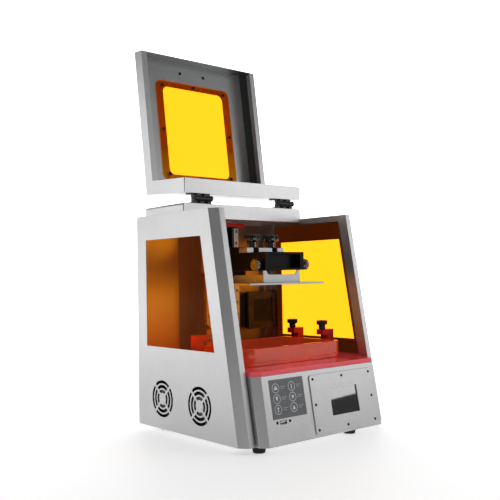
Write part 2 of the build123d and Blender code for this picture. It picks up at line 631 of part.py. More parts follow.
for side in (-1, 1):
    lid_block -= corner_cut(side, 0)
    cavity -= corner_cut(side, sheet_t)
lid_shell = lid_block - cavity - mouth
door_normal = (0, -cos(radians(slope)), sin(radians(slope)))
door_corner = Plane(origin=(0, roof_front_y, roof_z), x_dir=(1, 0, 0), z_dir=door_normal)
pane_u = (37.6, 256.3)
cut_u = (50.3, 244.2)
pane_half, cut_half = 97.4, 80.4


def on_door(shape):
    """Local x is the machine's x, local y counts down the door as a negative length, z outwards."""
    return door_corner * shape


window_cut = rounded_box((-cut_half, cut_half), (-cut_u[1], -cut_u[0]), (-3, 3), 13)
handle_u = 279.3
handle_half = 31.3
lid_shell -= on_door(window_cut)
for x in (-handle_half, handle_half):
    lid_shell -= on_door(rod(2.1, (x, -handle_u, -4), 8))
lid_pane = rounded_box((-pane_half, pane_half), (-pane_u[1], -pane_u[0]), (-sheet_t - 3, -sheet_t), 14)

lid_screws = []
corner_x, corner_u = 82.3, (50.1, 245.0)
edge_x, edge_u = 88.9, (44.0, 250.2)
pane_holes = [(x, u) for x in (-corner_x, corner_x) for u in corner_u]
pane_holes += [(x, sum(corner_u) / 2) for x in (-edge_x, edge_x)]
pane_holes += [(0, u) for u in edge_u]
for x, u in pane_holes:
    lid_screws.append(rod(3.6, (x, -u, -sheet_t - 3 - 1.6), 1.6))
for x in (-handle_half, handle_half):
    lid_screws.append(rod(4.0, (x, -handle_u, -sheet_t - 1.8), 1.8) + rod(2.0, (x, -handle_u, -3), 3 + 8))
handle = block((-handle_half - 5, -handle_half + 5), (-handle_u - 5, -handle_u + 5), (0, 24))
handle += block((handle_half - 5, handle_half + 5), (-handle_u - 5, -handle_u + 5), (0, 24))
handle += block((-handle_half - 5, handle_half + 5), (-handle_u - 5, -handle_u + 5), (16, 26))
handle = fillet(handle.edges().filter_by(Axis.Y), 3)
for x in (-handle_half, handle_half):
    handle -= rod(2.0, (x, -handle_u, -1), 10)


def opened(shape):
    return shape.rotate(hinge_axis, -hinge_travel)


add("lid_shell", opened(lid_shell))
add("lid_window", opened(on_door(lid_pane)))
add("lid_screws", *[opened(on_door(s)) for s in lid_screws])
add("lid_handle", opened(on_door(handle)))

# --- Hinges: each has a lower leaf, an upper leaf and a pin; knuckles alternate along the pin
barrel_r = 5.5
leaf_t = 2.5
knuckles = 5
knuckle = hinge_width / knuckles


def hinge_leaf(center, odd):
    """The lower leaf on the top cover, or with odd set the upper leaf drawn as it lies when closed."""
    direction = 1 if not odd else -1
    leaf_y = sorted((hinge_y + direction * 26, hinge_y + direction * 1.2))
    leaf = block((center - hinge_width / 2, center + hinge_width / 2), leaf_y, (roof_z, roof_z + leaf_t))
    web_y = sorted((hinge_y + direction * 1.2, hinge_y + direction * 6.6))
    leaf += block((center - hinge_width / 2, center + hinge_width / 2),
                  sorted((hinge_y + direction * 6.1, hinge_y + direction * 8)), (roof_z + 0.5, hinge_z - 0.5))
    bore = rod(hinge_pin_r + run_clear, (center - hinge_width, hinge_y, hinge_z), 2 * hinge_width, (1, 0, 0))
    if not odd:
        bore = rod(hinge_pin_r, (center - hinge_width, hinge_y, hinge_z), 2 * hinge_width, (1, 0, 0))
    for i in range(knuckles):
        if i % 2 == int(odd):
            x0 = center - hinge_width / 2 + i * knuckle + 0.15
            span = (x0, x0 + knuckle - 0.3)
            leaf += rod(barrel_r, (span[0], hinge_y, hinge_z), knuckle - 0.3, (1, 0, 0))
            leaf += block(span, web_y, (roof_z + 0.5, hinge_z))
        else:
            x0 = center - hinge_width / 2 + i * knuckle - 0.15
            leaf -= block((x0, x0 + knuckle + 0.3), sorted((hinge_y - direction * 8, hinge_y + direction * 6.1)),
                          (roof_z - 1, roof_z + leaf_t + 1))
    for x in (-15, 0, 15):
        leaf -= rod(2.2, (center + x, hinge_y + direction * 16, roof_z - 1), 6)
    return leaf - bore


lower = [hinge_leaf(side * hinge_x, False) for side in (-1, 1)]
upper = [opened(hinge_leaf(side * hinge_x, True)) for side in (-1, 1)]
add("hinge_lower_leaves", *lower)
add("hinge_upper_leaves", *upper)
add("hinge_pins", *[rod(hinge_pin_r, (side * hinge_x - hinge_width / 2 - 1, hinge_y, hinge_z), hinge_width + 2,
                        (1, 0, 0)) for side in (-1, 1)])

# --- Move the whole object so that its origin is under the middle of its box, then write it
boxes = [solid.bounding_box() for solids in parts.values() for solid in solids]
low = [min(getattr(b.min, a) for b in boxes) for a in ("X", "Y", "Z")]
high = [max(getattr(b.max, a) for b in boxes) for a in ("X", "Y", "Z")]
shift = (-(low[0] + high[0]) / 2, -(low[1] + high[1]) / 2, -low[2])
os.makedirs("parts", exist_ok=True)
for name, solids in parts.items():
    moved = [Pos(*shift) * solid for solid in solids]
    export_step(moved[0] if len(moved) == 1 else Compound(children=moved), f"parts/{name}.step")
print("nodes", len(parts), "shift", [round(v, 3) for v in shift])
print("size", [round(h - l, 1) for h, l in zip(high, low)])
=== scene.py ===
import json
import math
import bmesh
import bpy
from mathutils import Matrix, Vector


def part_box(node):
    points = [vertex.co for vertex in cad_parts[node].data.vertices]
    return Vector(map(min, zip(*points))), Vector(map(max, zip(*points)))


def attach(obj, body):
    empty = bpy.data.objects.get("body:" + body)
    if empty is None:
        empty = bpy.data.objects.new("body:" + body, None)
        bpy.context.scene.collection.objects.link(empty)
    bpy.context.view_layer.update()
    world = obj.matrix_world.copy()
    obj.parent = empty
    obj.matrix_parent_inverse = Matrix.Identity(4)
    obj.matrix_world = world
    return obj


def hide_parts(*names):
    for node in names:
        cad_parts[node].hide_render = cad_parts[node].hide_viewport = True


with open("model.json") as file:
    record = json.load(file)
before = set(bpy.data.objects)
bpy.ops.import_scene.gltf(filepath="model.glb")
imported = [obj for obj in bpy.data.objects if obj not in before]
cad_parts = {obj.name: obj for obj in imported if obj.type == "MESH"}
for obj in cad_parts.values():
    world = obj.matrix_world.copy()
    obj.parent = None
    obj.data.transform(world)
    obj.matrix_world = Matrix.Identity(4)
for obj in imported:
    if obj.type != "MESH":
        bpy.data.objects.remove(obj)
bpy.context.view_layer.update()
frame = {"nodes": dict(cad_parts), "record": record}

scene = bpy.context.scene
subparts = frame["record"]["subparts"]
bodyOf = {node: body for body, nodes in frame["record"]["behaviour"]["bodies"].items() for node in nodes}
slotOf = {row["node"]: row["material_slot"] for row in subparts}

# the machine's own millimetres: x from its middle, y from the rear edge of the cheeks, z from their lower edge
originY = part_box("left_side_panel")[1][1]
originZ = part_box("base_pan")[0][2]
slant = math.radians(10)  # lean of the front and of the lid's door
frontY = -342.8  # foot of the sloping front
lidTop = 426.6  # outer face of the closed lid
hingeY, hingeZ = -123.2, 436.3  # lid hinge pin
openTurn = math.radians(-177.4)  # the lid at rest, against closed
upward = Vector((0, 0, 1))


def spot(x, y, z):
    return Vector((x / 1000, y / 1000 + originY, z / 1000 + originZ))


def frontSpot(x, s, out=0.0):  # s runs up the sloping front, out stands off it
    y = frontY + s * math.sin(slant) - out * math.cos(slant)
    return spot(x, y, s * math.cos(slant) + out * math.sin(slant))


def frontFacing():
    return Vector((0, -math.cos(slant), math.sin(slant)))


def doorSpot(x, u, out=0.0):  # u runs down the lid's door from its corner, out stands off the outer face
    y = frontY + lidTop * math.tan(slant) - u * math.sin(slant) - out * math.cos(slant) - hingeY
    z = lidTop - u * math.cos(slant) + out * math.sin(slant) - hingeZ
    c, s = math.cos(openTurn), math.sin(openTurn)
    return spot(x, hingeY + y * c - z * s, hingeZ + y * s + z * c)


def doorFacing():
    return (doorSpot(0, 0, 1000) - doorSpot(0, 0, 0)).normalized()


# camera and light
cameraValues = {"place": (-965.8, -1271.5, 287.0), "yaw": -40.33, "pitch": 1.93, "roll": -1.06,
                "lens": 53.66, "near": 0.05, "far": 60.0}
eye = bpy.data.objects.new("studioCamera", bpy.data.cameras.new("studioCamera"))
scene.collection.objects.link(eye)
eye.data.lens, eye.data.sensor_width = cameraValues["lens"], 36
eye.data.clip_start, eye.data.clip_end = cameraValues["near"], cameraValues["far"]
eye.matrix_world = (
    Matrix.Translation(spot(*cameraValues["place"]))
    @ Matrix.Rotation(math.radians(cameraValues["yaw"]), 4, "Z")
    @ Matrix.Rotation(math.radians(90 + cameraValues["pitch"]), 4, "X")
    @ Matrix.Rotation(math.radians(cameraValues["roll"]), 4, "Z"))
scene.camera = eye

lightValues = {
    "cheekBox": {"at": (-1.6, 1.35, 0.55), "aim": (0, 0, 0.25), "size": (1.7, 1.3), "watts": 10.5},
    "frontBox": {"at": (1.5, -1.58, 0.79), "aim": (0, -0.1, 0.79), "size": (1.2, 1.12), "watts": 8},
    "topBox": {"at": (0.2, -0.2, 2.4), "aim": (0, 0, 0.3), "size": (1.8, 1.8), "watts": 9},
}
for name, v in lightValues.items():
    lamp = bpy.data.objects.new(name, bpy.data.lights.new(name, "AREA"))
    lamp.data.shape, lamp.data.size, lamp.data.size_y = "RECTANGLE", *v["size"]
    lamp.data.energy = v["watts"]
    lamp.location = v["at"]
    lamp.rotation_euler = (Vector(v["aim"]) - Vector(v["at"])).to_track_quat("-Z", "Y").to_euler()
    lamp.visible_camera = False
    scene.collection.objects.link(lamp)
scene.view_settings.view_transform = "Standard"
print("camera and lights are set")


# node tools
def addNode(tree, kind, settings, values):  # settings come first, then the values or links of its sockets
    made = tree.nodes.new(kind)
    for key, value in settings.items():
        setattr(made, key, value)
    for key, value in values.items():
        feed(tree, made.inputs[key], value)
    return made


def feed(tree, socket, value):
    source = getattr(value, "socket", value)
    if isinstance(source, bpy.types.NodeSocket):
        tree.links.new(source, socket)
    else:
        socket.default_value = value


class Wire:  # a shader socket that sums can be written with
    def __init__(self, finish, socket):
        self.finish, self.socket = finish, socket

    def sum(self, operation, left, right):
        return self.finish.node("ShaderNodeMath", {"operation": operation}, {0: left, 1: right})

    def __add__(self, other):
        return self.sum("ADD", self, other)

    def __radd__(self, other):
        return self.sum("ADD", other, self)

    def __sub__(self, other):
        return self.sum("SUBTRACT", self, other)

    def __rsub__(self, other):
        return self.sum("SUBTRACT", other, self)

    def __mul__(self, other):
        return self.sum("MULTIPLY", self, other)

    def __rmul__(self, other):
        return self.sum("MULTIPLY", other, self)

    def __pow__(self, other):
        return self.sum("POWER", self, other)

    def __gt__(self, other):
        return self.sum("GREATER_THAN", self, other)

    def __lt__(self, other):
        return self.sum("LESS_THAN", self, other)


class Finish:
    def __init__(self, name, fixed):
        self.material = bpy.data.materials.new(name)
        self.material.use_nodes = True
        self.tree = self.material.node_tree
        self.shader = self.tree.nodes["Principled BSDF"]
        for socket, value in fixed.items():
            self.shader.inputs[socket].default_value = value
        self.where = self.node("ShaderNodeTexCoord", {}, {}, "Object")

    def node(self, kind, settings, values, out=0):
        return Wire(self, addNode(self.tree, kind, settings, values).outputs[out])

    def give(self, socket, value):
        feed(self.tree, self.shader.inputs[socket], value)

    def noise(self, scale, detail=2.0, where=None):
        return self.node("ShaderNodeTexNoise", {}, {
            "Vector": where or self.where, "Scale": scale, "Detail": detail})

    def tint(self, factor, first, second):
        return self.node("ShaderNodeMix", {"data_type": "RGBA"}, {0: factor, 6: first, 7: second}, 2)

    def parts(self, vector):
        return [self.node("ShaderNodeSeparateXYZ", {}, {"Vector": vector}, i) for i in range(3)]

    def facing(self):
        return self.parts(self.node("ShaderNodeTexCoord", {}, {}, "Normal"))

    def stretch(self, x, y, z):
        return self.node("ShaderNodeMapping", {}, {"Vector": self.where, "Scale": (x, y, z)})

    def band(self, value, low, high):
        return self.node("ShaderNodeMapRange", {}, {"Value": value, "From Min": low, "From Max": high})

    def emboss(self, height, strength, distance):
        self.give("Normal", self.node("ShaderNodeBump", {}, {
            "Strength": strength, "Distance": distance, "Height": height}))


def rgb(r, g, b):
    return (r, g, b, 1.0)


def metalPaint(name, v, inside=None):
    f = Finish(name, {"IOR": 1.5, "Metallic": v["metal"], "Coat Weight": v["coat"], "Coat Roughness": 0.25})
    flake = f.node("ShaderNodeTexVoronoi", {"feature": "F1"}, {
        "Vector": f.where, "Scale": v["flakes"]}, "Color")
    spark = f.node("ShaderNodeSeparateColor", {}, {"Color": flake}, 0)
    cloud = f.noise(9.0, 3.0)
    worn = f.noise(160.0, 4.0)
    paint = f.tint(f.band(spark * 0.75 + cloud * 0.5, 0.1, 1.15), rgb(*v["dark"]), rgb(*v["light"]))
    if inside:  # painted shade on faces that look into the machine and a painted pool of light on the rear wall go over the paint, and open seams are dark
        for mask, colour in inside(f):
            paint = f.tint(mask, paint, rgb(*colour))
    f.give("Base Color", paint)
    f.give("Roughness", f.band(worn * 0.6 + cloud * 0.4, 0.2, 0.8) * v["roughSpread"] + v["rough"])
    f.emboss(f.noise(v["peel"], 2.0) * 0.7 + spark * 0.3, 0.12, 0.0004)
    return f.material


def castAcrylic(name, v):
    # the emission is a painted glow, making the acrylic brighter than the lamps alone light it
    f = Finish(name, {"IOR": v.get("ior", 1.49), "Transmission Weight": v["clear"],
                      "Emission Color": rgb(*v.get("glowColour", v["light"])),
                      "Emission Strength": v.get("glow", 0.0)})
    smear = f.noise(26.0, 4.0)
    haze = f.noise(4.0, 1.0)
    f.give("Base Color", f.tint(f.band(haze, 0.3, 0.7), rgb(*v["light"]), rgb(*v["deep"])))
    f.give("Roughness", f.band(smear, 0.45, 0.75) * v["smears"] + v["rough"])
    f.emboss(f.noise(60.0, 1.0), 0.03, 0.0005)
    return f.material


def anodised(name, v):
    f = Finish(name, {"Metallic": v["metal"]})
    brushed = f.noise(1.0, 3.0, f.stretch(*v["grain"]))
    blotch = f.noise(30.0, 2.0)
    blend = f.band(brushed * 0.5 + blotch * 0.5, 0.25, 0.8)
    f.give("Base Color", f.tint(blend, rgb(*v["dark"]), rgb(*v["light"])))
    f.give("Roughness", f.band(brushed, 0.2, 0.8) * v["roughSpread"] + v["rough"])
    f.emboss(brushed, 0.12, 0.0003)
    return f.material


def moulded(name, v):
    f = Finish(name, {"IOR": v.get("ior", 1.46), "Specular IOR Level": v.get("specular", 0.5)})
    grain = f.node("ShaderNodeTexVoronoi", {"feature": "SMOOTH_F1"}, {
        "Vector": f.where, "Scale": v["grain"]}, "Distance")
    rub = f.noise(45.0, 4.0)
    f.give("Base Color", f.tint(f.band(rub, 0.35, 0.75), rgb(*v["dark"]), rgb(*v["light"])))
    f.give("Roughness", f.band(rub * 0.5 + grain * 0.5, 0.1, 0.9) * v["roughSpread"] + v["rough"])
    f.emboss(grain, v["depth"], 0.0004)
    return f.material


finishValues = {
    "silver_paint": (metalPaint, {
        "dark": (0.40, 0.40, 0.405), "light": (0.62, 0.62, 0.625), "metal": 0.72, "coat": 0.25,
        "flakes": 2600.0, "peel": 700.0, "rough": 0.30, "roughSpread": 0.12}),
    "amber_acrylic": (castAcrylic, {
        "light": (0.97, 0.315, 0.0075), "deep": (0.96, 0.30, 0.006), "clear": 1.0, "ior": 1.05,
        "glow": 0.028, "glowColour": (1.0, 0.22, 0.03), "rough": 0.0, "smears": 0.03}),
    "red_acrylic": (castAcrylic, {
        "light": (0.95, 0.10, 0.13), "deep": (0.90, 0.07, 0.10), "clear": 0.25, "glow": 0.07,
        "rough": 0.12, "smears": 0.12}),
    "vat_red": (castAcrylic, {
        "light": (0.97, 0.17, 0.06), "deep": (0.95, 0.13, 0.045), "clear": 0.68, "glow": 0.06,
        "rough": 0.08, "smears": 0.08}),
    "red_anodised": (anodised, {
        "dark": (0.72, 0.03, 0.03), "light": (0.92, 0.055, 0.05), "metal": 0.2,
        "grain": (120, 120, 900), "rough": 0.28, "roughSpread": 0.15}),
    "black_anodised": (anodised, {
        "dark": (0.003, 0.003, 0.003), "light": (0.009, 0.009, 0.010), "metal": 0.1,
        "grain": (900, 200, 200), "rough": 0.26, "roughSpread": 0.15}),
    "black_plastic": (moulded, {
        "dark": (0.006, 0.006, 0.007), "light": (0.018, 0.018, 0.02), "grain": 1500.0, "depth": 0.15,
        "rough": 0.36, "roughSpread": 0.2}),
    "knob_gloss": (moulded, {
        "dark": (0.005, 0.005, 0.006), "light": (0.012, 0.012, 0.013), "grain": 900.0, "depth": 0.02,
        "rough": 0.07, "roughSpread": 0.10, "ior": 1.9}),
    "black_gloss": (moulded, {
        "dark": (0.006, 0.007, 0.009), "light": (0.012, 0.013, 0.016), "grain": 200.0, "depth": 0.0,
        "rough": 0.02, "roughSpread": 0.02, "ior": 3.0}),
    "clear_film": (castAcrylic, {
        "light": (0.95, 0.95, 0.95), "deep": (0.9, 0.9, 0.92), "clear": 1.0, "rough": 0.05,
        "smears": 0.10}),
    "filter_foam": (moulded, {
        "dark": (0.035, 0.028, 0.022), "light": (0.075, 0.06, 0.045), "grain": 700.0, "depth": 0.2,
        "rough": 0.45, "roughSpread": 0.2}),
    "screen_glass": (moulded, {
        "dark": (0.01, 0.01, 0.014), "light": (0.02, 0.02, 0.026), "grain": 300.0, "depth": 0.01,
        "rough": 0.06, "roughSpread": 0.08}),
    "steel": (anodised, {
        "dark": (0.42, 0.42, 0.42), "light": (0.68, 0.68, 0.67), "metal": 1.0, "grain": (500, 500, 60),
        "rough": 0.22, "roughSpread": 0.2}),
    "bright_aluminium": (anodised, {
        "dark": (0.29, 0.29, 0.295), "light": (0.43, 0.43, 0.435), "metal": 0.9,
        "grain": (40, 900, 900), "rough": 0.26, "roughSpread": 0.2}),
    "brass": (anodised, {
        "dark": (0.50, 0.33, 0.10), "light": (0.78, 0.56, 0.24), "metal": 1.0, "grain": (500, 500, 80),
        "rough": 0.22, "roughSpread": 0.2}),
    "rubber": (moulded, {
        "dark": (0.010, 0.010, 0.010), "light": (0.03, 0.03, 0.03), "grain": 900.0, "depth": 0.3,
        "rough": 0.62, "roughSpread": 0.25, "specular": 0.3}),
    "label": (moulded, {
        "dark": (0.13, 0.135, 0.14), "light": (0.16, 0.165, 0.17), "grain": 1200.0, "depth": 0.06,
        "rough": 0.38, "roughSpread": 0.15}),
    "icon": (moulded, {
        "dark": (0.78, 0.79, 0.80), "light": (0.88, 0.88, 0.88), "grain": 1200.0, "depth": 0.04,
        "rough": 0.35, "roughSpread": 0.15}),
    "rule": (moulded, {
        "dark": (0.42, 0.43, 0.44), "light": (0.50, 0.51, 0.52), "grain": 1200.0, "depth": 0.04,
        "rough": 0.38, "roughSpread": 0.15}),
    "board_green": (moulded, {
        "dark": (0.01, 0.10, 0.03), "light": (0.03, 0.20, 0.07), "grain": 700.0, "depth": 0.1,
        "rough": 0.3, "roughSpread": 0.2}),
    "black_oxide": (anodised, {
        "dark": (0.010, 0.010, 0.011), "light": (0.05, 0.05, 0.052), "metal": 0.8,
        "grain": (700, 700, 700), "rough": 0.28, "roughSpread": 0.25}),
    "dark_metal": (moulded, {
        "dark": (0.003, 0.003, 0.002), "light": (0.007, 0.006, 0.005), "grain": 900.0, "depth": 0.04,
        "rough": 0.30, "roughSpread": 0.15, "specular": 0.10}),
}
finishes = {name: make(name + "Finish", v) for name, (make, v) in finishValues.items()}

# painted shade and painted light for the inner faces of the silver sheets, the dark seams, and where each one ends in
# metres; the pane's ends are millimetres down the door
paintedLightAndSeamValues = {
    # the first colour is painted shade on inner faces, tinted amber for the light that comes through the panes
    "paintedInnerShade": (0.32, 0.26, 0.19), "cheekSkin": 0.1765,
    # a painted pool of light on the rear wall's inner face, left of the x that follows it
    "rearPaintedLight": (0.85, 0.82, 0.78), "rearPaintedLightTo": -0.075,
    "seam": (0.01, 0.01, 0.01), "seamWidth": 0.0009,
    # painted shade inside the lid: a flat grey on the door's back, much darker on its side and end walls
    "lidPaintedShade": (0.50, 0.51, 0.51), "lidHalf": 0.1383, "lidWallPaintedShade": (0.065, 0.065, 0.065), "wallHalf": 0.1497,
    "lidLow": 0.03, "lidEnd": 0.02,
    "underPane": (0.46, 0.44, 0.42), "paneHalf": 0.0974, "paneFrom": 37.6, "paneTo": 256.3, "paneCorner": 16,
}


def absolute(f, wire):
    return f.node("ShaderNodeMath", {"operation": "ABSOLUTE"}, {0: wire})


# painted shade on the cheeks' inner faces
def cheekInnerShade(f):
    x = f.parts(f.where)[0]
    return [((absolute(f, x) > paintedLightAndSeamValues["cheekSkin"]) * (f.facing()[0] * x < -0.08), paintedLightAndSeamValues["paintedInnerShade"])]


# painted shade on the rear wall's inner face, and a painted pool of light on its left part
def rearShadeAndLightPool(f):
    back = f.facing()[1] < -0.5
    paintedPool = back * (f.parts(f.where)[0] < paintedLightAndSeamValues["rearPaintedLightTo"])
    return [(back, paintedLightAndSeamValues["paintedInnerShade"]), (paintedPool, paintedLightAndSeamValues["rearPaintedLight"])]


# a dark seam at the front of each side, and painted shade on the faces that look down
def coverSeamAndShade(f):
    x, y, z = f.parts(f.where)
    low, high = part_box("top_cover")
    width = paintedLightAndSeamValues["seamWidth"]
    seam = (absolute(f, x) > high.x - width) * (y < low.y + width)
    return [(seam, paintedLightAndSeamValues["seam"]), (f.facing()[2] < -0.5, paintedLightAndSeamValues["paintedInnerShade"])]


# painted shade on the lid's inner back and, darker, on its inner side and end walls; a plain grey under the pane and
# a dark seam at the front corner
def lidSeamAndShade(f):
    x, y, z = f.parts(f.where)
    nx, ny, nz = f.facing()
    low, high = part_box("lid_shell")
    v = paintedLightAndSeamValues
    inner = (absolute(f, x) < v["wallHalf"]) * (z > low.z + v["lidLow"])
    back = inner * (ny < -0.5) * (absolute(f, x) < v["lidHalf"])
    sides = inner * (nx * x < -0.05)
    end = inner * (nz < -0.5) * (z > high.z - v["lidEnd"])
    seam = (absolute(f, x) > high.x - v["seamWidth"]) * (y < low.y + 1.6 * v["seamWidth"])
    top, bottom = doorSpot(0, v["paneTo"]).z, doorSpot(0, v["paneFrom"]).z
    middle, half = (top + bottom) / 2, (top - bottom) / 2
    across, along = x * (1 / v["paneHalf"]), (z - middle) * (1 / half)
    border = back * (across ** v["paneCorner"] + along ** v["paneCorner"] < 1.0)
    return [(back, v["lidPaintedShade"]), (border, v["underPane"]), (sides + end > 0.5, v["lidWallPaintedShade"]), (seam, v["seam"])]


# which sheets get painted shade, a painted pool of light or dark seams over their paint
paintedLightAndSeamRules = {"left_side_panel": cheekInnerShade, "right_side_panel": cheekInnerShade, "rear_panel": rearShadeAndLightPool,
               "top_cover": coverSeamAndShade, "lid_shell": lidSeamAndShade}
# a lighter copy of the silver paint for the top cover and lid: painted light, brightening them beyond what the lamps
# give
lighterPaintCopy = dict(finishValues["silver_paint"][1], dark=(0.47, 0.47, 0.475), light=(0.71, 0.71, 0.715))
paintOf = {"top_cover": lighterPaintCopy, "lid_shell": lighterPaintCopy}
nodeFinish = {node: metalPaint(node + "Paint", paintOf.get(node, finishValues["silver_paint"][1]), rule)
              for node, rule in paintedLightAndSeamRules.items()}
nodeFinish["air_filter"] = finishes["filter_foam"]

for node, slot in slotOf.items():  # every carried-over node gets its slot's finish
    shown = frame["nodes"][node]
    shown.data.materials.clear()
    shown.data.materials.append(nodeFinish.setdefault(node, finishes[slot]))
print("finishes are made:", len(finishes))

# floor and surroundings
brightWay = (0.647, 0.762, 0.0)  # the floor and the sky brighten this way, beyond the machine
floorValues = {"half": 9.0, "glow": 1.85, "near": 0.28, "from": 0.5, "to": 1.8,
               "pale": (0.92, 0.92, 0.92), "colour": (0.93, 0.93, 0.93), "grain": 60.0}
floorMesh = bpy.data.meshes.new("studioFloor")
h = floorValues["half"]
floorMesh.from_pydata([(-h, -h, 0), (h, -h, 0), (h, h, 0), (-h, h, 0)], [], [(0, 1, 2, 3)])
floor = bpy.data.objects.new("studioFloor", floorMesh)
scene.collection.objects.link(floor)
paper = Finish("floorPaper", {"Roughness": 0.6, "Specular IOR Level": 0.25, "Emission Color": rgb(1, 1, 1),
                              "Emission Strength": floorValues["glow"]})
floorX, floorY = paper.parts(paper.where)[:2]
away = paper.band(floorX * brightWay[0] + floorY * brightWay[1], floorValues["from"], floorValues["to"])
bright = away * (1 - floorValues["near"]) + floorValues["near"]
paper.give("Emission Color", paper.tint(bright, rgb(0, 0, 0), rgb(1, 1, 1)))
fibre = paper.noise(floorValues["grain"])
paper.give("Base Color", paper.tint(fibre, rgb(*floorValues["pale"]), rgb(*floorValues["colour"])))
floorMesh.materials.append(paper.material)

skyValues = {"near": 0.10, "far": 2.35, "from": 0.5, "to": 0.97}
sky = bpy.data.worlds.new("studio")
sky.use_nodes = True
scene.world = sky
skyTree = sky.node_tree
heading = addNode(skyTree, "ShaderNodeTexCoord", {}, {}).outputs["Generated"]
toward = addNode(skyTree, "ShaderNodeVectorMath", {"operation": "DOT_PRODUCT"}, {0: heading, 1: brightWay})
spread = addNode(skyTree, "ShaderNodeMapRange", {"interpolation_type": "SMOOTHSTEP"}, {
    "Value": toward.outputs["Value"], "From Min": skyValues["from"], "From Max": skyValues["to"],
    "To Min": skyValues["near"], "To Max": skyValues["far"]})
glow = skyTree.nodes["Background"]
feed(skyTree, glow.inputs["Strength"], spread.outputs["Result"])
feed(skyTree, glow.inputs["Color"], rgb(1, 1, 1))
print("floor and surroundings are set")


# mesh tools
def piece(name, mesh, finish, body, replaced=(), sharp=35):
    made = bpy.data.objects.new(name, mesh)
    scene.collection.objects.link(made)
    if not mesh.materials:
        mesh.materials.append(finishes[finish])
    mesh.shade_smooth()
    mesh.set_sharp_from_angle(angle=math.radians(sharp))
    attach(made, body)
    if replaced:
        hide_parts(*replaced)


def standOn(point, direction):  # millimetres along a direction, from a point of the frame
    turn = direction.to_track_quat("Z", "Y").to_matrix().to_4x4()
    return Matrix.Translation(point) @ turn @ Matrix.Scale(0.001, 4)


def meshFrom(name, shape, place=None):
    if place is not None:
        shape.transform(place)
    bmesh.ops.recalc_face_normals(shape, faces=shape.faces)
    mesh = bpy.data.meshes.new(name)
    shape.to_mesh(mesh)
    shape.free()
    return mesh


def turned(rings, around, flutes=0):  # each ring is radius, height and the depth of its flutes, or "hex"
    shape = bmesh.new()
    rows = []
    for radius, height, cut in rings:
        row = []
        for i in range(around):
            angle = 2 * math.pi * i / around
            reach = radius
            if cut == "hex":
                reach = radius * math.cos(math.pi / 6) / math.cos(angle % (math.pi / 3) - math.pi / 6)
            elif cut:
                reach = radius - cut * max(0.0, math.cos(flutes * angle)) ** 0.6
            row.append(shape.verts.new((reach * math.cos(angle), reach * math.sin(angle), height)))
        rows.append(row)
    for low, high in zip(rows, rows[1:]):
        for i in range(around):
            shape.faces.new((low[i], low[(i + 1) % around], high[(i + 1) % around], high[i]))
    for row, height in ((rows[0], rings[0][1]), (rows[-1], rings[-1][1])):
        middle = shape.verts.new((0, 0, height))
        for i in range(around):
            shape.faces.new((row[i], row[(i + 1) % around], middle))
    return shape


def plainMesh(made):  # the evaluated shape, free of its modifiers
    bpy.context.view_layer.update()
    shaped = made.evaluated_get(bpy.context.evaluated_depsgraph_get())
    return bpy.data.meshes.new_from_object(shaped)


softValues = {"merge": 0.00002, "flat": 2.0, "edge": 28.0, "steps": 2, "sharp": 40.0, "broad": 0.0022}


def breadthOf(mesh, face):  # how wide a face is, from its area and the length of its rim
    ends = [(mesh.vertices[a].co, mesh.vertices[b].co) for a, b in face.edge_keys]
    return 2 * face.area / sum((a - b).length for a, b in ends)


def softened(node, width):  # a CAD node with its edges broken, as a deburred sheet or a moulding has
    shape = bmesh.new()
    shape.from_mesh(frame["nodes"][node].data)
    bmesh.ops.remove_doubles(shape, verts=shape.verts, dist=softValues["merge"])
    bmesh.ops.dissolve_limit(shape, angle_limit=math.radians(softValues["flat"]),
                             verts=shape.verts, edges=shape.edges)
    mesh = bpy.data.meshes.new(node + "Soft")
    shape.to_mesh(mesh)
    shape.free()
    made = bpy.data.objects.new(node + "Soft", mesh)
    scene.collection.objects.link(made)
    edge = made.modifiers.new("edge", "BEVEL")
    edge.width, edge.segments, edge.limit_method = width / 1000, softValues["steps"], "ANGLE"
    edge.angle_limit = math.radians(softValues["edge"])
    done = plainMesh(made)
    wide = [breadthOf(done, face) for face in done.polygons]
    bpy.data.objects.remove(made)
    done.materials.clear()
    done.materials.append(nodeFinish[node])
    piece(node + "Soft", done, slotOf[node], bodyOf[node], (node,), sharp=softValues["sharp"])
    for face, breadth in zip(done.polygons, wide):  # broad faces are dead flat, narrow ones round off
        face.use_smooth = breadth < softValues["broad"]


softEdges = {
    "left_side_panel": 0.45, "right_side_panel": 0.45, "top_cover": 0.5, "lid_shell": 0.5, "front_panel": 0.45,
    "screen_cover": 0.4, "platform_plate": 0.5, "build_arm": 0.5, "clamp_bar": 0.6, "plate_hanger": 0.4,
    "build_plate": 0.5, "vat_clamps": 0.9, "vat_tray": 1.2, "film_frame": 0.6, "hinge_lower_leaves": 0.3,
    "hinge_upper_leaves": 0.3, "z_top_plate": 0.6, "carriage_plate": 0.5, "rail_blocks": 0.5, "lid_handle": 1.2,
    "power_inlet": 0.6, "power_rocker": 0.5, "touch_screen": 0.2,
}
for node, width in softEdges.items():
    softened(node, width)
print("edges are softened:", len(softEdges))


